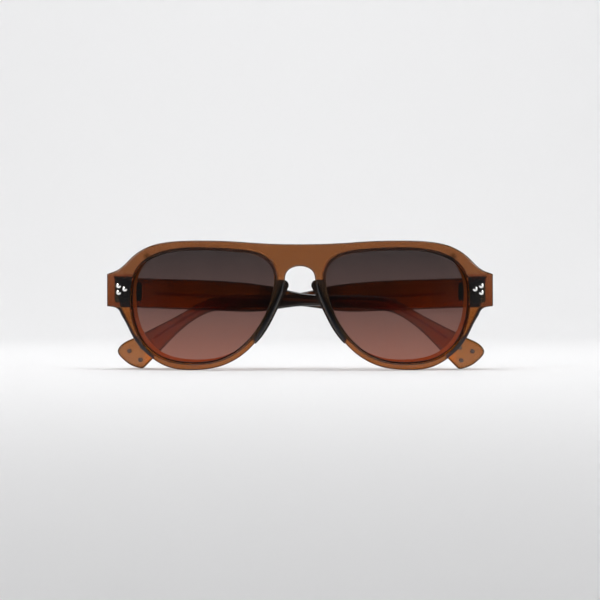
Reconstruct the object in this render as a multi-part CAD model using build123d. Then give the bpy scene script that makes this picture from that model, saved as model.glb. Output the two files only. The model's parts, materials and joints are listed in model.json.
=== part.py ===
from build123d import *
from math import asin, degrees, sqrt
import os

# Aviator sunglasses with an acetate front and riveted barrel hinges, folded.
# +Z is up towards the brow, the front faces -Y and +X is the wearer's left. The pair stands on
# the bottoms of its rims and on its temple tips.
#
# The front frame has its origin on the bridge's front face, at the hinge's level. The hinge frame
# has its origin on the left pin, with the temple open along +Y and its outer face towards +X.

# ---- driving dimensions, in mm and degrees ----
front_width = 145.0
face_radius = 260.0  # wrap of the front, seen from above
front_thickness = 4.2
front_edge_round = 0.6
rear_edge_round = 0.6

end_block_depth = 6.7  # behind the front face at the outer side, at the hinge's level
end_block_inner = 4.5  # from the pin to the block's inner side
end_block_round = 0.8
butt_slant = 12.2  # of the face where front and temple meet

opening_lean_x = -0.30  # how the rim's inner wall leans, per mm towards the back
opening_lean_z = 0.15
lens_radius = 180.0
lens_thickness = 1.8
lens_inset = 0.5  # the lens's middle behind the front face
lens_tuck = 0.7  # how far the lens reaches into its groove
groove_side_gap = 0.03
groove_end_gap = 0.10

pad_depth = 5.2
pad_round = 1.2

barrel_side_gap = 0.25  # between the barrels and the temple's inner face
pin_to_butt = 1.13  # at the hinge's middle
hinge_mid_z = -0.6
barrel_radius = 1.35
knuckle_height = 1.5
knuckle_gap = 0.05
knuckle_count = 5
screw_radius = 0.70
screw_clearance = 0.03
screw_head_radius = 1.15
screw_head_height = 0.55
screw_slot_width = 0.3
screw_slot_depth = 0.3
screw_tail = 0.3
leaf_thickness = 1.0
leaf_corner = 0.9
front_leaf_left = -3.0  # the front leaf's sides, from the pin
front_leaf_right = 2.0
front_leaf_gap = 0.65  # between the barrels and the front leaf's rear face
front_leaf_height = 8.4
temple_leaf_length = 7.4
temple_leaf_height = 7.0
temple_leaf_proud = 0.15
leaf_pocket_gap = 0.08

temple_thickness = 3.6
temple_gap = 0.16  # between the two folded temples
temple_round = 1.0
butt_gap = 0.10
core_width = 0.9
core_thickness = 0.7
core_gap = 0.05

rivet_radius = 0.5
rivet_head_radius = 0.9
rivet_head_depth = 0.6
rivet_crown = 0.28  # how far the middle of a front rivet's head stands out
rivet_crown_radius = 2.2
tip_rivet_radius = 0.85

reach = 60.0  # longer than any cut needs

# ---- outlines of the front's left half, seen from ahead: across, up ----
brow_line = [(0, 16.95), (13, 17.25), (28, 18.2), (38, 18.4), (48, 18.05), (56, 16.45), (63, 12.3)]
brow_line += [(67, 8.5), (69.6, 7.0)]
end_top = (front_width / 2, 6.0)
end_bottom = (front_width / 2, -6.1)
corner_start = (70.2, -6.4)  # of the hollow corner where the rim leaves the end block
outer_rim_line = [(67.4, -8.6), (65.9, -11.3), (62.3, -18.2), (55.3, -25.6), (42, -29.85)]
lower_rim_line = [(42, -29.85), (30, -28.6), (18, -21.2), (10.3, -9.6), (7.2, -2.6)]
keyhole_line = [(7.2, -2.6), (5.8, 2.0), (4.9, 6.6), (0, 8.8)]
opening_line = [(9.7, 3), (11.2, -5), (16.2, -15), (24, -23), (33, -26.9), (42, -27.5), (51, -25.9)]
opening_line += [(58, -21.1), (62.3, -12.5), (63.5, -2), (61.8, 6.5), (56, 11.8), (46, 14.5)]
opening_line += [(34, 14.8), (22, 13.95), (13.5, 11.4), (10.1, 7)]
opening_middle = (36.6, -6.4)
pad_nose_line = [(5.6, 3.6), (4.5, 2.8), (4.2, 1.8), (4.6, 0.4), (8.3, -7.1)]
pad_nose_line += [(11.24, -12.96), (16.6, -20.2)]
pad_rim_line = [(16.6, -20.2), (17.2, -17.4), (12.4, -9.0), (10.1, 0.0), (8.9, 3.1), (5.6, 3.6)]

# ---- rivets: distance from the pin, up ----
front_rivet_places = [(0.7, 1.55), (0.7, -0.95), (-1.65, 0.35)]
temple_rivet_places = [(3.5, 1.55), (3.5, -0.95), (5.7, 0.35)]
tip_rivet_places = [(127.7, -21.8), (132.5, -23.2), (128.3, -26.6)]

# ---- outlines of the temple, from the side: distance from the pin, up ----
temple_top_line = [(-4, 4.85), (10, 4.4), (30, 3.8), (46, 2.8), (57, 1.3), (66, -0.8), (78, -1.9)]
temple_top_line += [(92, -2.0), (101, -3.1), (112, -8.6), (130, -17.85)]
temple_tip_line = [(130, -17.85), (135.2, -20.5), (137, -23.3), (135, -26.4), (131.4, -28.9)]
temple_tip_line += [(128.2, -29.85), (124.3, -27.0)]
temple_low_line = [(124.3, -27.0), (109, -12.3), (100.5, -8.1), (92, -7.3), (75, -6.0), (64, -6.45)]
temple_low_line += [(53, -8.0), (42, -8.15), (22, -7.3), (-4, -6.3)]
core_line = [(12.5, -1.3), (35, -2.2), (52, -2.9), (66, -3.7), (85, -4.2), (99, -5.2)]
core_line += [(110, -10), (123, -18.4)]

# ---- what follows from them ----
half_width = front_width / 2
pin_inset = temple_thickness + barrel_radius + barrel_side_gap  # from the temple's outer face
front_leaf_back = barrel_radius + front_leaf_gap
pin_x = half_width - pin_inset
temple_inner = pin_inset - temple_thickness  # from the pin to the temple's inner face
side_drop = face_radius - sqrt(face_radius**2 - half_width**2)
butt_y = side_drop + end_block_depth  # the butt face at the hinge's middle
pin_y = butt_y + pin_to_butt
fold_offset = degrees(asin((temple_thickness + temple_gap) / (2 * pin_x)))
hinge_span = knuckle_count * knuckle_height + (knuckle_count - 1) * knuckle_gap
hinge_low_z = hinge_mid_z - hinge_span / 2
hinge_place = Pos(pin_x, pin_y, 0)
left_fold = hinge_place * Rot(Z=90 - fold_offset)
right_fold = hinge_place * Rot(Z=90 + fold_offset)  # used before mirroring


def face_y(x):
    """How far the front's face lies behind the bridge at this x."""
    return face_radius - sqrt(face_radius**2 - x**2)


def behind_face(depth):
    """The space deeper than this behind the curved front face."""
    return Pos(0, face_radius, 0) * Cylinder(face_radius - depth, 4 * reach)


def block(x, y, z):
    """A box between the pairs of limits."""
    size = [high - low for low, high in (x, y, z)]
    middle = [(high + low) / 2 for low, high in (x, y, z)]
    return Pos(*middle) * Box(*size)


def front_outline():
    brow = Spline(*brow_line, tangents=[(1, 0), (1, -0.35)])
    end = Polyline(brow_line[-1], end_top, end_bottom, corner_start)
    under_end = (corner_start[0] - end_bottom[0], corner_start[1] - end_bottom[1])
    corner = TangentArc(corner_start, outer_rim_line[0], tangent=under_end)
    outer_rim = Spline(*outer_rim_line, tangents=[corner % 1, (-1, 0)])
    lower_rim = Spline(*lower_rim_line, tangents=[(-1, 0), (-0.42, 1)])
    keyhole = Spline(*keyhole_line, tangents=[(-0.42, 1), (-1, 0)])
    middle = Line(keyhole_line[-1], brow_line[0])
    return make_face(Wire([brow, *end.edges(), corner, outer_rim, lower_rim, keyhole, middle]))


def opening_cutter(grow=0.0):
    """The lens opening, leaning as the rim's inner wall does."""
    level = face_y(opening_middle[0])
    shifted = []
    for x, z in opening_line:
        ahead = face_y(x) - level
        shifted.append((x - opening_lean_x * ahead, z - opening_lean_z * ahead))
    outline = Spline(*shifted, periodic=True)
    if grow:
        outline = Spline(*grown_points(outline, grow), periodic=True)
    lean = Vector(opening_lean_x, 1, opening_lean_z)
    start = Vector(0, level, 0) - lean * (reach / 2)
    face = Plane(start, x_dir=(1, 0, 0), z_dir=(0, -1, 0)) * make_face(outline)
    return extrude(face, reach * lean.length, dir=lean.normalized())


def grown_points(curve, grow, count=24):
    """Points this far outside a closed curve."""
    points = []
    for index in range(count):
        along = curve % (index / count)
        here = curve @ (index / count)
        outward = Vector(along.Y, -along.X) * grow
        if (here + outward - curve.center()).length < (here - curve.center()).length:
            outward = outward * -1
        points.append(here + outward)
    return points


def lens_shell(extra=0.0):
    """The ball shell that the lens is cut from, thicker by this much on both sides."""
    x, z = opening_middle
    turn = asin(x / face_radius)
    outward = Vector(x / face_radius, -sqrt(1 - (x / face_radius) ** 2), 0)
    centre = Vector(x, face_y(x), z) - outward * (lens_radius + lens_inset)
    ball = Pos(*centre)
    return ball * Sphere(lens_radius + extra) - ball * Sphere(lens_radius - lens_thickness - extra)


def lens():
    return lens_shell() & opening_cutter(lens_tuck)


def lens_groove():
    return lens_shell(groove_side_gap) & opening_cutter(lens_tuck + groove_end_gap)


def butt_side(gap=0.0):
    """The space ahead of the butt face, in the hinge frame."""
    space = block((-reach, reach), (-2 * reach, gap), (-reach, reach))
    return Pos(0, -pin_to_butt, hinge_mid_z) * Rot(X=butt_slant) * space


def leaf_plate(across, along, z, gap=0.0):
    """A plate with rounded corners, standing across one of the hinge frame's axes."""
    grown = [(low - gap, high + gap) for low, high in (across, along, z)]
    plate = block(*grown)
    thin = min((across, along), key=lambda pair: pair[1] - pair[0])
    axis = Axis.X if thin is across else Axis.Y
    return fillet(plate.edges().filter_by(axis), leaf_corner)


def front_leaf_plate(gap=0.0):
    across = (front_leaf_left, front_leaf_right)
    along = (-front_leaf_back - leaf_thickness, -front_leaf_back)
    half = front_leaf_height / 2
    return leaf_plate(across, along, (hinge_mid_z - half, hinge_mid_z + half), gap)


def temple_leaf_plate():
    start = temple_inner - temple_leaf_proud
    half = temple_leaf_height / 2
    across = (start, start + leaf_thickness)
    return leaf_plate(across, (0, temple_leaf_length), (hinge_mid_z - half, hinge_mid_z + half))


def knuckles(first, web_x, web_y):
    """Every second knuckle from this one, each with the web that joins it to its leaf."""
    made = []
    for index in range(first, knuckle_count, 2):
        low = hinge_low_z + index * (knuckle_height + knuckle_gap)
        barrel = Pos(0, 0, low + knuckle_height / 2) * Cylinder(barrel_radius, knuckle_height)
        made.append(barrel + block(web_x, web_y, (low, low + knuckle_height)))
    return made


def pin_bore():
    return Cylinder(screw_radius + screw_clearance, reach)


def front_leaf():
    leaf = front_leaf_plate()
    for knuckle in knuckles(0, (-1.1, 1.1), (-front_leaf_back - 0.2, 0)):
        leaf += knuckle
    return hinge_place * (leaf - pin_bore()) - front_rivets()


def temple_leaf():
    leaf = temple_leaf_plate()
    for knuckle in knuckles(1, (0, temple_inner), (0, barrel_radius - 0.15)):
        leaf += knuckle
    return leaf - pin_bore() - temple_rivets()


def hinge_screw():
    top = hinge_low_z + hinge_span
    bottom = hinge_low_z - screw_tail
    shank = Pos(0, 0, (top + bottom) / 2) * Cylinder(screw_radius, top - bottom)
    head = Pos(0, 0, top + screw_head_height / 2) * Cylinder(screw_head_radius, screw_head_height)
    head = fillet(head.edges().group_by(Axis.Z)[-1], 0.2)
    slot_low = top + screw_head_height - screw_slot_depth
    slot = block((-reach, reach), (-screw_slot_width / 2, screw_slot_width / 2), (slot_low, reach))
    return hinge_place * (shank + head - slot)


def front_rivets():
    """The rivets of the front leaf, with crowned heads square to the curved face."""
    rear = pin_y - front_leaf_back
    made = []
    for across, z in front_rivet_places:
        x = pin_x + across
        face = face_y(x)
        outward = Vector(x / face_radius, -sqrt(1 - (x / face_radius) ** 2), 0)
        crown_middle = Vector(x, face, z) - outward * (rivet_crown_radius - rivet_crown)
        shank = Pos(x, (face + rear) / 2, z) * Rot(X=90) * Cylinder(rivet_radius, rear - face)
        head = Pos(x, face, z) * Rot(X=90) * Cylinder(rivet_head_radius, 2 * rivet_head_depth)
        made.append((head & Pos(*crown_middle) * Sphere(rivet_crown_radius)) + shank)
    return Compound(made)


def temple_rivets():
    """The rivets of the temple leaf, flush with the temple's outer face."""
    start = temple_inner - temple_leaf_proud
    made = []
    for along, z in temple_rivet_places:
        middle = (start + pin_inset) / 2
        shank = Pos(middle, along, z) * Rot(Y=90) * Cylinder(rivet_radius, pin_inset - start)
        head_middle = pin_inset - rivet_head_depth / 2
        head = Pos(head_middle, along, z) * Rot(Y=90) * Cylinder(rivet_head_radius, rivet_head_depth)
        made.append(shank + head)
    return Compound(made)


def tip_rivets():
    middle = (temple_inner + pin_inset) / 2
    pin = Rot(Y=90) * Cylinder(tip_rivet_radius, temple_thickness)
    return Compound([Pos(middle, along, z) * pin for along, z in tip_rivet_places])


def core_bar(gap=0.0):
    """The stiffening wire in the temple's middle."""
    strip = trace(Spline(*core_line), core_width + 2 * gap)
    bar = extrude(Plane.YZ * strip, core_thickness / 2 + gap, both=True)
    return Pos((temple_inner + pin_inset) / 2, 0, 0) * bar


def temple():
    top = Spline(*temple_top_line, tangents=[(1, -0.03), (1, -0.51)])
    tip = Spline(*temple_tip_line, tangents=[(1, -0.51), (-1, 1)])
    low = Spline(*temple_low_line, tangents=[(-1, 1), (-1, 0.04)])
    butt = Line(temple_low_line[-1], temple_top_line[0])
    outline = make_face(Wire([top, tip, low, butt]))
    middle_x = (temple_inner + pin_inset) / 2
    blank = Pos(middle_x, 0, 0) * extrude(Plane.YZ * outline, temple_thickness / 2, both=True)
    rims = blank.faces().filter_by(Axis.X).edges()
    blank = fillet([edge for edge in rims if edge.geom_type != GeomType.LINE], temple_round)
    blank -= butt_side(butt_gap)
    return blank - temple_leaf_plate() - temple_rivets() - tip_rivets() - core_bar(core_gap)


def nose_pad():
    """The pad behind the rim, at the nose."""
    outline = make_face(Wire([Spline(*pad_nose_line), Spline(*pad_rim_line)]))
    rear = face_y(pad_nose_line[-1][0]) + front_thickness + pad_depth
    pad = extrude(Plane.XZ * outline, -rear)
    rear_edges = pad.faces().sort_by(Axis.Y)[-1].edges()
    return fillet(rear_edges, pad_round) & behind_face(front_thickness)


def on_face(depth):
    """Tells the edges that lie this deep behind the front face, off the middle."""

    def test(edge):
        for share in (0.1, 0.5, 0.9):
            point = edge @ share
            found = face_radius - sqrt(point.X**2 + (point.Y - face_radius) ** 2)
            if abs(found - depth) > 0.02:
                return False
        return (edge @ 0.5).X > 0.001

    return test


def end_block():
    """The deep block behind the front's end, as high as the temple's butt."""
    low, high = end_bottom[1], end_top[1]
    inner_x = pin_x - end_block_inner
    start = face_y(inner_x) + 2
    rear = butt_y + 4
    body = block((inner_x, half_width), (start, rear), (low, high)) & behind_face(1)
    body &= hinge_place * butt_side()
    upright = body.edges().filter_by(Axis.Y).group_by(Axis.X)
    return fillet(upright[0] + upright[-1], end_block_round)


def left_half():
    plate = extrude(Plane.XZ * front_outline(), reach, both=True)
    plate &= behind_face(0) - behind_face(front_thickness)
    plate = fillet(plate.edges().filter_by(on_face(0)), front_edge_round)
    plate = fillet(plate.edges().filter_by(on_face(front_thickness)), rear_edge_round)
    half = plate + end_block()
    low = hinge_mid_z - front_leaf_height / 2
    high = hinge_mid_z + front_leaf_height / 2
    pocket = block(
        (front_leaf_left - leaf_pocket_gap, front_leaf_right + leaf_pocket_gap),
        (-front_leaf_back - leaf_thickness, reach),
        (low - leaf_pocket_gap, high + leaf_pocket_gap),
    )
    pocket = fillet(pocket.edges().filter_by(Axis.Y), leaf_corner)
    return half - opening_cutter() - lens_groove() - hinge_place * pocket - front_rivets()


def front_frame():
    half = left_half()
    return half + mirror(half, about=Plane.YZ)


def both_sides(name, shape):
    """The left piece and its mirror image, by node name."""
    return {name + "_left": shape, name + "_right": mirror(shape, about=Plane.YZ)}


def folded(name, shape):
    """A piece of each temple: the right temple folds first and the left one behind it."""
    right = mirror(right_fold * shape, about=Plane.YZ)
    return {name + "_left": left_fold * shape, name + "_right": right}


pieces = {"front_frame": front_frame()}
pieces |= both_sides("lens", lens())
pieces |= both_sides("nose_pad", nose_pad())
pieces |= both_sides("front_hinge_leaf", front_leaf())
pieces |= both_sides("hinge_screw", hinge_screw())
pieces |= both_sides("front_rivets", front_rivets())
pieces |= folded("temple", temple())
pieces |= folded("temple_hinge_leaf", temple_leaf())
pieces |= folded("core_wire", core_bar())
pieces |= folded("temple_rivets", temple_rivets())
pieces |= folded("tip_rivets", tip_rivets())

box = Compound(list(pieces.values())).bounding_box()
to_floor = Pos(0, -(box.min.Y + box.max.Y) / 2, -box.min.Z)

os.makedirs("parts", exist_ok=True)
for name, shape in pieces.items():
    export_step(to_floor * shape, f"parts/{name}.step")
pin = to_floor * hinge_place
print("pin at", pin.position, "fold offset", fold_offset)
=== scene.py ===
import json
import math

import bmesh
import bpy
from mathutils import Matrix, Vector


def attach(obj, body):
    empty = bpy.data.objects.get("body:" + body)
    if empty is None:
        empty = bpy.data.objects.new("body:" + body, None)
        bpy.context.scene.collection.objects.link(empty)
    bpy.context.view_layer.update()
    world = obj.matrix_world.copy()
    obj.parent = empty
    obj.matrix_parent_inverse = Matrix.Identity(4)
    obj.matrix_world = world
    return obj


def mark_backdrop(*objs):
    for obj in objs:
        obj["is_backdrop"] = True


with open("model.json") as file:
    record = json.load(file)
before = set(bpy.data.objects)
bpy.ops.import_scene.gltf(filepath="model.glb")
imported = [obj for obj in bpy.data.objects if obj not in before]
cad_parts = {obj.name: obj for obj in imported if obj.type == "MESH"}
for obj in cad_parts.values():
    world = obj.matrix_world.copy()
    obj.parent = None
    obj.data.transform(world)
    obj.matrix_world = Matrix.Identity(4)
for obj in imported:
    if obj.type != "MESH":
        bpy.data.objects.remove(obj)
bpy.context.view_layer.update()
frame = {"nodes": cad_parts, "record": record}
nodes = frame["nodes"]
print("frame loaded:", len(nodes), "pieces")


class Wire:
    # a socket that can be used in sums
    def __init__(self, look, socket):
        self.look = look
        self.socket = socket

    def calc(self, operation, other, flipped=False):
        pair = [other, self] if flipped else [self, other]
        return self.look.add("ShaderNodeMath", {"operation": operation}, pair)

    def __add__(self, other):
        return self.calc("ADD", other)

    def __radd__(self, other):
        return self.calc("ADD", other, True)

    def __sub__(self, other):
        return self.calc("SUBTRACT", other)

    def __rsub__(self, other):
        return self.calc("SUBTRACT", other, True)

    def __mul__(self, other):
        return self.calc("MULTIPLY", other)

    def __rmul__(self, other):
        return self.calc("MULTIPLY", other, True)

    def __truediv__(self, other):
        return self.calc("DIVIDE", other)

    def __rtruediv__(self, other):
        return self.calc("DIVIDE", other, True)

    def __pow__(self, other):
        return self.calc("POWER", other)


class Look:
    # one material and the nodes that are added to it
    def __init__(self, name):
        self.material = bpy.data.materials.new(name)
        self.material.use_nodes = True
        self.tree = self.material.node_tree
        self.shader = self.tree.nodes["Principled BSDF"]
        self.output = self.tree.nodes["Material Output"]

    def feed(self, socket, value):
        if isinstance(value, Wire):
            self.tree.links.new(value.socket, socket)
        elif isinstance(value, (tuple, list)) and len(value) == 3 and socket.type == "RGBA":
            socket.default_value = (*value, 1)
        else:
            socket.default_value = value

    def add(self, kind, settings=None, values=(), out=0):
        node = self.tree.nodes.new(kind)
        for name, value in (settings or {}).items():
            if name == "stops":
                self.setStops(node, value)
            else:
                setattr(node, name, value)
        pairs = values.items() if isinstance(values, dict) else enumerate(values)
        for key, value in pairs:
            self.feed(node.inputs[key], value)
        return Wire(self, node.outputs[out])

    def setStops(self, node, stops):
        ramp = node.color_ramp
        while len(ramp.elements) < len(stops):
            ramp.elements.new(0.5)
        for element, (place, colour) in zip(ramp.elements, stops):
            element.position = place
            element.color = (*colour, 1)

    def place(self):
        return self.add("ShaderNodeTexCoord", out="Object")

    def stretched(self, scale):
        return self.add("ShaderNodeVectorMath", {"operation": "MULTIPLY"}, [self.place(), scale])

    def noise(self, where, scale, detail=2.0, roughness=0.5, distortion=0.0):
        values = {"Vector": where, "Scale": scale, "Detail": detail}
        values |= {"Roughness": roughness, "Distortion": distortion}
        return self.add("ShaderNodeTexNoise", None, values)

    def size(self, value):
        # the value without its sign
        return self.add("ShaderNodeMath", {"operation": "ABSOLUTE"}, [value])

    def parts(self, where):
        # distance from the middle plane, depth and height
        node = self.add("ShaderNodeSeparateXYZ", None, [where]).socket.node
        side = self.size(Wire(self, node.outputs["X"]))
        return side, Wire(self, node.outputs["Y"]), Wire(self, node.outputs["Z"])

    def ahead(self):
        # 1 on what faces forward at rest
        facing = self.add("ShaderNodeTexCoord", out="Normal")
        return self.between(self.parts(facing)[1], -0.2, -0.7)

    def streak(self, side, height, start, end, width, feather):
        # 1 along a line seen from ahead, and 0 away from it
        run = (end[0] - start[0], end[1] - start[1])
        long = run[0] ** 2 + run[1] ** 2
        near = ((side - start[0]) * run[0] + (height - start[1]) * run[1]) / long
        share = self.add("ShaderNodeClamp", None, [near, 0.0, 1.0])
        offSide = side - start[0] - share * run[0]
        offHeight = height - start[1] - share * run[1]
        away = (offSide * offSide + offHeight * offHeight) ** 0.5
        return self.between(away, width / 2 + feather, width / 2 - feather)

    def between(self, value, low, high):
        # 0 at low, 1 at high
        return self.add("ShaderNodeMapRange", {"clamp": True}, [value, low, high, 0.0, 1.0])

    def mixed(self, share, first, second):
        # 6 and 7 are the colour inputs of a Mix node, and 2 its colour output
        values = {"Factor": share, 6: first, 7: second}
        return self.add("ShaderNodeMix", {"data_type": "RGBA"}, values, out=2)

    def bump(self, height, distance, strength=1.0):
        values = {"Height": height, "Distance": distance, "Strength": strength}
        return self.add("ShaderNodeBump", None, values)

    def finish(self, **values):
        for name, value in values.items():
            self.feed(self.shader.inputs[name.replace("_", " ")], value)
        return self.material

    def letLampsThrough(self, tint):
        # lamps light what lies behind, dimmed by the tint
        shadowRay = self.add("ShaderNodeLightPath", out="Is Shadow Ray")
        through = self.add("ShaderNodeBsdfTransparent", None, {"Color": tint})
        surface = Wire(self, self.shader.outputs[0])
        both = self.add("ShaderNodeMixShader", None, [shadowRay, surface, through])
        self.tree.links.new(both.socket, self.output.inputs["Surface"])
        return self.material


def hairlines(look, along, across):
    # fine polishing lines, long one way
    return look.noise(look.stretched(along), across, 3.0, 0.6)


acetates = {
    "acetate": {
        "deep": (0.52, 0.30, 0.10), "pale": (0.72, 0.44, 0.17), "clearness": 0.96,
        "tint": (0.75, 0.50, 0.08), "density": 660.0,
    },
    # painted shade: the pads' acetate is near-black and very dense, standing in for the darkness
    # that thickness and refraction give the nose pads
    "padAcetate": {
        "deep": (0.03, 0.02, 0.015), "pale": (0.06, 0.04, 0.03), "clearness": 0.6,
        "tint": (0.62, 0.36, 0.10), "density": 2500.0,
    },
    # partly painted light: the temples' own acetate, painted a more saturated orange than the
    # front's, standing in for thin acetate lit from behind
    "templeAcetate": {
        "deep": (0.78, 0.28, 0.02), "pale": (0.92, 0.38, 0.04), "clearness": 0.93,
        "tint": (0.78, 0.46, 0.04), "density": 620.0,
    },
}
polish = {
    "cloudStretch": (1.0, 1.0, 1.6), "cloudSize": 38.0, "cloudFrom": 0.35, "cloudTo": 0.68,
    "lineStretch": (1.0, 1.0, 14.0), "lineSize": 240.0, "grainSize": 2600.0, "smearSize": 90.0,
    "roughness": 0.05, "smearRoughness": 0.05, "lineRoughness": 0.02,
    "bumpDepth": 0.00001, "bumpStrength": 0.35, "ior": 1.49,
    # edge: a near-black painted shade colour for dark outlines, streaks and bands
    "edge": (0.0012, 0.0007, 0.0005), "edgeShadeShare": 0.97,
    "flat": (0.97, 0.82), "wall": (0.30, 0.36),  # how far a face may turn from the front
    "lampTint": (0.80, 0.78, 0.76),
}
frontShade = {
    # painted shade: dark streaks from one place to another, each with its width and soft edge,
    # standing in for the black bands refraction gives the outer lower rims, the upper corners and
    # the nose sides
    "streaks": [
        ((0.0679, 0.0222), (0.0629, 0.0123), 0.0027, 0.0004),
        ((0.0629, 0.0123), (0.0558, 0.0044), 0.0026, 0.0004),
        ((0.0572, 0.0424), (0.0560, 0.0416), 0.0010, 0.0012),
        ((0.0060, 0.0310), (0.0158, 0.0112), 0.0026, 0.0006),
    ],
    # low: the lower rim painted darker and more saturated, offsetting the floor's reflection; brow:
    # a painted pale bluish reflection on the top brow
    "low": (0.52, 0.25, 0.03), "brow": (0.50, 0.33, 0.27), "lowTo": 0.020, "browFrom": 0.036,
    # wall: painted light, bright orange on side walls, standing in for light carried through the
    # acetate
    "wall": (1.0, 0.36, 0.02),
    "bed": {  # painted shade: the dark place behind each end block's rivets, where the folded temple's block lies behind
        "inner": 0.0632, "topSide": 0.0697, "slant": 0.216, "top": 0.0348, "bottom": 0.0232,
        "feather": 0.0003, "share": 0.92,
    },
}
templeShade = {
    "tipSide": (0.0565, 0.0600), "tipHeight": (0.022, 0.018), "tip": (0.54, 0.34, 0.16),
    # middle: painted shade, a near-black band near the middle plane where the folded temples
    # overlap; low: painted light, bright orange low on the temples, standing in for thin acetate
    # lit from behind
    "middle": (0.0185, 0.0095), "middleShare": 0.85,
    "low": (0.95, 0.36, 0.0), "lowSide": (0.020, 0.034), "lowHeight": (0.0262, 0.0225),
    "plain": (0.34, 0.23, 0.14), "plainSide": (0.046, 0.030), "plainShare": 0.6,
}


def shadeTemple(look, colour, side, height):
    shade = templeShade
    plain = shade["plainShare"] * look.between(side, *shade["plainSide"])
    colour = look.mixed(plain, colour, shade["plain"])
    # painted light: the lower temple turns bright orange
    low = look.between(side, *shade["lowSide"]) * look.between(height, *shade["lowHeight"])
    colour = look.mixed(low, colour, shade["low"])
    tip = look.between(side, *shade["tipSide"]) * look.between(height, *shade["tipHeight"])
    colour = look.mixed(tip, colour, shade["tip"])
    # painted shade: near-black toward the middle plane
    middle = shade["middleShare"] * look.between(side, *shade["middle"])
    return look.mixed(middle, colour, polish["edge"])


def shadeFront(look, colour, side, height):
    middle = (frontShade["lowTo"] + frontShade["browFrom"]) / 2
    # painted shade and painted reflection: the lower rim darker and more saturated, the brow pale
    # bluish grey
    low = look.between(height, middle, frontShade["lowTo"])
    colour = look.mixed(low, colour, frontShade["low"])
    brow = look.between(height, middle, frontShade["browFrom"])
    colour = look.mixed(brow, colour, frontShade["brow"])
    # painted shade: dark streaks
    for streak in frontShade["streaks"]:
        colour = look.mixed(look.streak(side, height, *streak), colour, polish["edge"])
    # painted shade behind the end blocks' rivets
    bed = frontShade["bed"]
    soft = bed["feather"]
    outer = bed["topSide"] + (height - bed["top"]) * bed["slant"]
    bedShade = look.between(outer - side, 0.0, soft)
    bedShade = bedShade * look.between(side, bed["inner"] - soft, bed["inner"])
    bedShade = bedShade * look.between(bed["top"] - height, 0.0, soft)
    bedShade = bedShade * look.between(height - bed["bottom"], 0.0, soft)
    return look.mixed(bed["share"] * bedShade, colour, polish["edge"])


def makeAcetate(name):
    look = Look(name)
    sheet = acetates[name]
    cloud = look.noise(look.stretched(polish["cloudStretch"]), polish["cloudSize"], 3.0, 0.55, 0.8)
    cloud = look.between(cloud, polish["cloudFrom"], polish["cloudTo"])
    colour = look.mixed(cloud, sheet["deep"], sheet["pale"])
    side, depth, height = look.parts(look.place())
    if name == "templeAcetate":
        colour = shadeTemple(look, colour, side, height)
    if name == "acetate":
        colour = shadeFront(look, colour, side, height)
    if name != "padAcetate":
        facing = look.add("ShaderNodeTexCoord", out="Normal")
        turned = look.size(look.parts(facing)[1])
        if name == "acetate":
            # painted light: side walls turn bright orange
            wall = look.between(turned, *reversed(polish["wall"]))
            colour = look.mixed(wall, colour, frontShade["wall"])
        # painted shade: rounded faces between flat and wall are darkened nearly black, standing in
        # for the dark outlines refraction gives acetate edges
        paintedEdgeShade = look.between(turned, *polish["flat"]) * look.between(turned, *polish["wall"])
        colour = look.mixed(polish["edgeShadeShare"] * paintedEdgeShade, colour, polish["edge"])
    lines = hairlines(look, polish["lineStretch"], polish["lineSize"])
    grain = look.noise(look.place(), polish["grainSize"], 2.0)
    smear = look.between(look.noise(look.place(), polish["smearSize"], 3.0), 0.45, 0.75)
    roughness = polish["roughness"] + polish["smearRoughness"] * smear
    roughness = roughness + polish["lineRoughness"] * lines
    relief = 0.7 * lines + 0.3 * grain
    inside = {"Color": sheet["tint"], "Density": sheet["density"]}
    volume = look.add("ShaderNodeVolumeAbsorption", None, inside)
    look.tree.links.new(volume.socket, look.output.inputs["Volume"])
    look.finish(
        Base_Color=colour, Roughness=roughness, IOR=polish["ior"],
        Transmission_Weight=sheet["clearness"],
        Normal=look.bump(relief, polish["bumpDepth"], polish["bumpStrength"]),
    )
    return look.letLampsThrough(polish["lampTint"])


lensTint = {
    "ramp": [
        (0.0, (0.285, 0.118, 0.086)),
        (0.30, (0.210, 0.092, 0.071)),
        (0.62, (0.100, 0.063, 0.057)),
        (1.0, (0.052, 0.042, 0.041)),
    ],
    "low": 0.002,
    "high": 0.046,
    "ior": 1.33,
    "lampTint": (0.50, 0.45, 0.44),  # what lamps keep on their way through
    "smearStretch": (1.0, 1.0, 0.4), "smearSize": 55.0, "roughness": 0.012, "smearRoughness": 0.035,
}


def makeLens():
    look = Look("lensTint")
    height = look.add("ShaderNodeSeparateXYZ", None, [look.place()], out="Z")
    share = look.between(height, lensTint["low"], lensTint["high"])
    colour = look.add("ShaderNodeValToRGB", {"stops": lensTint["ramp"]}, [share])
    where = look.stretched(lensTint["smearStretch"])
    smear = look.noise(where, lensTint["smearSize"], 4.0, 0.6, 1.2)
    smear = look.between(smear, 0.5, 0.8)
    roughness = lensTint["roughness"] + lensTint["smearRoughness"] * smear
    look.finish(
        Base_Color=colour, Roughness=roughness, IOR=lensTint["ior"], Transmission_Weight=1.0
    )
    return look.letLampsThrough(lensTint["lampTint"])


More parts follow.
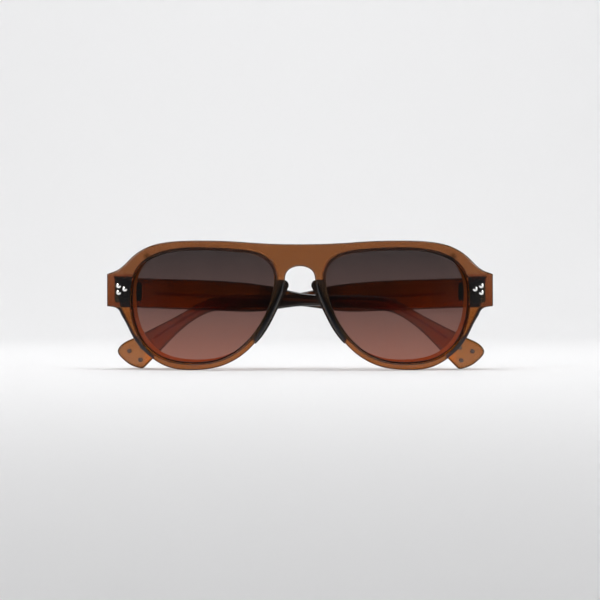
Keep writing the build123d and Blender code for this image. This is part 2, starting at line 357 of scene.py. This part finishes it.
upright, level = (1.0, 1.0, 9.0), (1.0, 5.0, 1.0)  # how the hairlines are squeezed
metals = {
    "hinge_steel": {
        "name": "hingeSteel", "bright": (0.16, 0.15, 0.14), "dull": (0.09, 0.085, 0.08),
        "roughness": 0.24, "lines": upright,
    },
    "screw_steel": {
        "name": "screwSteel", "bright": (0.66, 0.65, 0.63), "dull": (0.48, 0.47, 0.46),
        "roughness": 0.18, "lines": upright,
    },
    "rivet_metal": {
        "name": "rivetMetal", "bright": (0.90, 0.89, 0.87), "dull": (0.74, 0.73, 0.71),
        "roughness": 0.06, "lines": level,
    },
    "pin_metal": {
        "name": "pinMetal", "bright": (0.20, 0.18, 0.165), "dull": (0.08, 0.07, 0.065),
        "roughness": 0.16, "lines": level,
    },
    "core_wire": {
        "name": "coreWire", "bright": (0.58, 0.56, 0.53), "dull": (0.36, 0.35, 0.33),
        "roughness": 0.30, "lines": (0.2, 1.0, 9.0),
        "glow": (0.30, 0.11, 0.03),  # stands for the light the acetate carries to the wire
    },
}
noGlow = (0.0, 0.0, 0.0)
brushed = {
    "patchSize": 400.0, "lineSize": 900.0, "patchRoughness": 0.12, "lineRoughness": 0.05,
    "bumpDepth": 0.00001, "bumpStrength": 0.4,
}


def makeMetal(slot):
    metal = metals[slot]
    look = Look(metal["name"])
    patches = look.noise(look.place(), brushed["patchSize"], 3.0)
    lines = hairlines(look, metal["lines"], brushed["lineSize"])
    colour = look.mixed(look.between(patches, 0.35, 0.7), metal["bright"], metal["dull"])
    rough = metal["roughness"] + brushed["patchRoughness"] * look.between(patches, 0.4, 0.8)
    rough = rough + brushed["lineRoughness"] * lines
    relief = 0.6 * lines + 0.4 * patches
    return look.finish(
        Base_Color=colour, Metallic=1.0, Roughness=rough,
        Normal=look.bump(relief, brushed["bumpDepth"], brushed["bumpStrength"]),
        Emission_Color=look.mixed(look.ahead(), noGlow, metal.get("glow", noGlow)),
        Emission_Strength=1.0,
    )


looks = {slot: makeMetal(slot) for slot in metals}
looks |= {
    "acetate": makeAcetate("acetate"),
    "pad_acetate": makeAcetate("padAcetate"),
    "lens_tint": makeLens(),
}
slotOf = {part["node"]: part["material_slot"] for part in frame["record"]["subparts"]}
for name, piece in nodes.items():
    piece.data.materials.clear()
    piece.data.materials.append(looks[slotOf[name]])
templeAcetate = makeAcetate("templeAcetate")
for side in ("left", "right"):
    nodes["temple_" + side].data.materials[0] = templeAcetate
print("finishes on", len(nodes), "pieces")

# painted shade: a dark tube along the lens's front edge
seamShadow = {"radius": 0.00025, "inset": 0.00084, "lift": -0.00006, "fewest": 30}
# painted light: a glowing orange strip behind the lens, with a dark brown rear
paintedRimGlow = {
    "inset": 0.00080, "least": 0.00020, "most": 0.0019, "toward": (0.82, -0.57), "taper": 0.8,
    "front": 0.0019, "back": 0.0027, "cloudSize": 160.0, "roughness": 0.30,
    "colour": (0.95, 0.27, 0.006), "shade": (0.70, 0.17, 0.004), "rear": (0.085, 0.036, 0.014),
    "glow": (0.66, 0.215, 0.0), "dimGlow": (0.48, 0.150, 0.0),
}
# painted shade: a near-black skin over each lens's edge
lensBorder = {
    "gap": 0.00004, "thickness": 0.00003, "flatFrom": 0.62, "weld": 0.000001,
    "colour": (0.006, 0.005, 0.005), "speckle": (0.014, 0.012, 0.012), "speckleSize": 1800.0,
    "roughness": 0.45, "shine": 0.12,
}


def makePaintedEdgeShadow():
    # painted shade: near-black for the lens's edge skin and the seam line
    look = Look("paintedEdgeShadow")
    speckle = look.noise(look.place(), lensBorder["speckleSize"], 2.0)
    return look.finish(
        Base_Color=look.mixed(speckle, lensBorder["colour"], lensBorder["speckle"]),
        Roughness=lensBorder["roughness"], Specular_IOR_Level=lensBorder["shine"],
    )


def makeRimGlowLook():
    look = Look("paintedRimGlow")
    cloud = look.noise(look.place(), paintedRimGlow["cloudSize"], 3.0)
    colour = look.mixed(cloud, paintedRimGlow["colour"], paintedRimGlow["shade"])
    # painted light: front faces glow orange, rear faces are dark brown
    ahead = look.ahead()
    glow = look.mixed(ahead, noGlow, look.mixed(cloud, paintedRimGlow["glow"], paintedRimGlow["dimGlow"]))
    return look.finish(
        Base_Color=look.mixed(ahead, paintedRimGlow["rear"], colour), Roughness=paintedRimGlow["roughness"],
        Emission_Color=glow, Emission_Strength=1.0,
    )


paintedEdgeShadow = makePaintedEdgeShadow()
rimGlowLook = makeRimGlowLook()


def makePaintedRimGlow(side, front):
    # painted light: a glowing orange strip at the rim's rear behind the lens, standing in for light
    # carried through the acetate, widest low on the outer side
    across, up = paintedRimGlow["toward"]
    toward = Vector((across if side == "left" else -across, 0.0, up))
    points = []
    for vertex in front:
        outward = Vector((vertex.normal.x, 0.0, vertex.normal.z)).normalized()
        share = max(0.0, outward.dot(toward)) ** paintedRimGlow["taper"]
        width = paintedRimGlow["least"] + (paintedRimGlow["most"] - paintedRimGlow["least"]) * share
        near, far = paintedRimGlow["front"], paintedRimGlow["back"]
        for inset, depth in ((0.0, near), (width, near), (width, far), (0.0, far)):
            inward = outward * (paintedRimGlow["inset"] + inset)
            points.append(vertex.co - inward + Vector((0.0, depth, 0.0)))
    count = len(front)
    faces = []
    for step in range(count):
        here, there = 4 * step, 4 * ((step + 1) % count)
        for corner in range(4):
            onward = (corner + 1) % 4
            faces.append((here + corner, here + onward, there + onward, there + corner))
    mesh = bpy.data.meshes.new("rimLip_" + side)
    mesh.from_pydata(points, [], faces)
    form = bmesh.new()
    form.from_mesh(mesh)
    bmesh.ops.recalc_face_normals(form, faces=form.faces)
    form.to_mesh(mesh)
    form.free()
    glowStrip = bpy.data.objects.new("rimLip_" + side, mesh)
    bpy.context.scene.collection.objects.link(glowStrip)
    mesh.materials.append(rimGlowLook)
    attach(glowStrip, "front")


def makeSeamShadow(side, wall):
    # painted shade: a dark line where the lens meets the rim, from the front end of the lens's
    # wall, standing in for the shadow of the lens's bevel
    rims = {}
    for edge in wall.edges:
        if edge.is_boundary:
            for one, other in (edge.verts, reversed(edge.verts)):
                rims.setdefault(one, []).append(other)
    loops = []
    left = set(rims)
    while left:
        loop = [left.pop()]
        onward = [v for v in rims[loop[-1]] if v in left]
        while onward:
            loop.append(onward[0])
            left.discard(onward[0])
            onward = [v for v in rims[loop[-1]] if v in left]
        loops.append(loop)
    front = min(
        (loop for loop in loops if len(loop) > seamShadow["fewest"]),
        key=lambda loop: sum(vertex.co.y for vertex in loop) / len(loop),
    )
    curve = bpy.data.curves.new("lensSeam_" + side, "CURVE")
    curve.dimensions = "3D"
    curve.bevel_depth = seamShadow["radius"]
    curve.bevel_resolution = 3
    line = curve.splines.new("POLY")
    line.points.add(len(front) - 1)
    for point, vertex in zip(line.points, front):
        inward = Vector((vertex.normal.x, 0.0, vertex.normal.z)).normalized() * seamShadow["inset"]
        place = vertex.co - inward
        point.co = (place.x, place.y + seamShadow["lift"], place.z, 1)
    line.use_cyclic_u = True
    shadowLine = bpy.data.objects.new("lensSeam_" + side, curve)
    bpy.context.scene.collection.objects.link(shadowLine)
    curve.materials.append(paintedEdgeShadow)
    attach(shadowLine, "front")
    print("lens seam", side, len(loops), "loops", len(front), "points")
    makePaintedRimGlow(side, front)


def makeLensBorder(side):
    # painted shade: a near-black skin over the ground edge of the lens, in its groove, standing in
    # for the shadow there
    source = nodes["lens_" + side].data
    form = bmesh.new()
    form.from_mesh(source)
    bmesh.ops.remove_doubles(form, verts=form.verts, dist=lensBorder["weld"])
    form.normal_update()
    flat = [face for face in form.faces if abs(face.normal.y) > lensBorder["flatFrom"]]
    bmesh.ops.delete(form, geom=flat, context="FACES")
    form.normal_update()
    makeSeamShadow(side, form)
    for vertex in form.verts:
        vertex.co += vertex.normal * lensBorder["gap"]
    mesh = bpy.data.meshes.new("lensBorder_" + side)
    form.to_mesh(mesh)
    form.free()
    mesh.shade_smooth()
    border = bpy.data.objects.new("lensBorder_" + side, mesh)
    bpy.context.scene.collection.objects.link(border)
    solid = border.modifiers.new("skin", "SOLIDIFY")
    solid.thickness = lensBorder["thickness"]
    solid.offset = 1
    mesh.materials.append(paintedEdgeShadow)
    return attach(border, "front")


for side in ("left", "right"):
    makeLensBorder(side)
print("lens borders made")

stage = {
    "width": 6.0, "near": -4.0, "far": 1.15, "bend": 0.5, "height": 1.9, "steps": 24,
    "colour": (0.80, 0.80, 0.805), "fibre": (0.70, 0.70, 0.71), "fibreSize": 220.0,
    "fibreShare": 0.04, "roughness": 0.85,
    "glow": (0.62, 0.62, 0.63), "glowFrom": (0.7, 2.4),  # far aside, past the lamps' reach
}


def makeStage():
    outline = [(stage["near"], 0.0)]
    for step in range(stage["steps"] + 1):
        turn = math.pi / 2 * step / stage["steps"]
        along = stage["far"] - stage["bend"] + stage["bend"] * math.sin(turn)
        up = stage["bend"] - stage["bend"] * math.cos(turn)
        outline.append((along, up))
    outline.append((stage["far"], stage["height"]))
    half = stage["width"] / 2
    points = [(side * half, along, up) for along, up in outline for side in (-1, 1)]
    faces = [(2 * i, 2 * i + 1, 2 * i + 3, 2 * i + 2) for i in range(len(outline) - 1)]
    mesh = bpy.data.meshes.new("sweep")
    mesh.from_pydata(points, [], faces)
    mesh.shade_smooth()
    sweep = bpy.data.objects.new("sweep", mesh)
    bpy.context.scene.collection.objects.link(sweep)
    look = Look("sweepPaper")
    fibre = look.noise(look.place(), stage["fibreSize"], 4.0)
    colour = look.mixed(stage["fibreShare"] * fibre, stage["colour"], stage["fibre"])
    aside = look.parts(look.place())[0]
    glow = look.mixed(look.between(aside, *stage["glowFrom"]), noGlow, stage["glow"])
    mesh.materials.append(look.finish(
        Base_Color=colour, Roughness=stage["roughness"],
        Emission_Color=glow, Emission_Strength=1.0,
    ))
    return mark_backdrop(sweep)


def aim(thing, target):
    thing.rotation_euler = (Vector(target) - thing.location).to_track_quat("-Z", "Y").to_euler()


aimPoint = (0.0, 0.0, 0.02)
lamps = [
    {"name": "top", "at": (0.0, -0.10, 1.0), "to": aimPoint, "size": (1.2, 0.6), "power": 6.5},
    {"name": "left", "at": (-1.15, -0.75, 0.55), "to": aimPoint, "size": (0.4, 0.6), "power": 5.0},
    {"name": "right", "at": (1.2, -0.70, 0.50), "to": aimPoint, "size": (0.4, 0.6), "power": 4.0},
    {
        "name": "backdrop", "at": (0.0, 0.25, 1.5), "to": (0.0, 1.15, 0.25),
        "size": (1.6, 0.5), "power": 14.0,
    },
]
room = {
    "pale": (0.70, 0.70, 0.71), "dark": (0.03, 0.03, 0.033), "above": (0.09, 0.16),
    "shade": (0.10, 0.10, 0.105), "toward": (-0.6, -0.9),
}


def makeLamps():
    for lamp in lamps:
        data = bpy.data.lights.new(lamp["name"], "AREA")
        data.shape = "RECTANGLE"
        data.size, data.size_y = lamp["size"]
        data.energy = lamp["power"]
        thing = bpy.data.objects.new(lamp["name"], data)
        thing.location = lamp["at"]
        bpy.context.scene.collection.objects.link(thing)
        aim(thing, lamp["to"])


class RoomLook(Look):
    # the nodes of the world around the stage
    def __init__(self, world):
        world.use_nodes = True
        self.tree = world.node_tree


def makeRoom():
    world = bpy.data.worlds.new("room")
    look = RoomLook(world)
    where = look.add("ShaderNodeTexCoord", out="Generated")
    split = look.add("ShaderNodeSeparateXYZ", None, [where]).socket.node
    ahead, up = Wire(look, split.outputs["Y"]), Wire(look, split.outputs["Z"])
    band = look.mixed(look.between(ahead, *room["toward"]), room["pale"], room["shade"])
    colour = look.mixed(look.between(up, *room["above"]), band, room["dark"])
    look.feed(look.tree.nodes["Background"].inputs["Color"], colour)
    bpy.context.scene.world = world


view = {"lens": 139.0, "distance": 0.87, "height": 0.0261, "plane": -0.0033, "nearest": 0.02}


def makeCamera():
    data = bpy.data.cameras.new("camera")
    data.lens = view["lens"]
    data.clip_start = view["nearest"]
    camera = bpy.data.objects.new("camera", data)
    camera.location = (0.0, view["plane"] - view["distance"], view["height"])
    camera.rotation_euler = (math.pi / 2, 0.0, 0.0)
    bpy.context.scene.collection.objects.link(camera)
    bpy.context.scene.camera = camera


makeStage()
makeLamps()
makeRoom()
makeCamera()
scene = bpy.context.scene
scene.view_settings.view_transform = "Standard"
scene.cycles.max_bounces = 24
scene.cycles.transmission_bounces = 20
scene.cycles.transparent_max_bounces = 16
scene.cycles.volume_bounces = 0
print("stage, lamps and camera set")
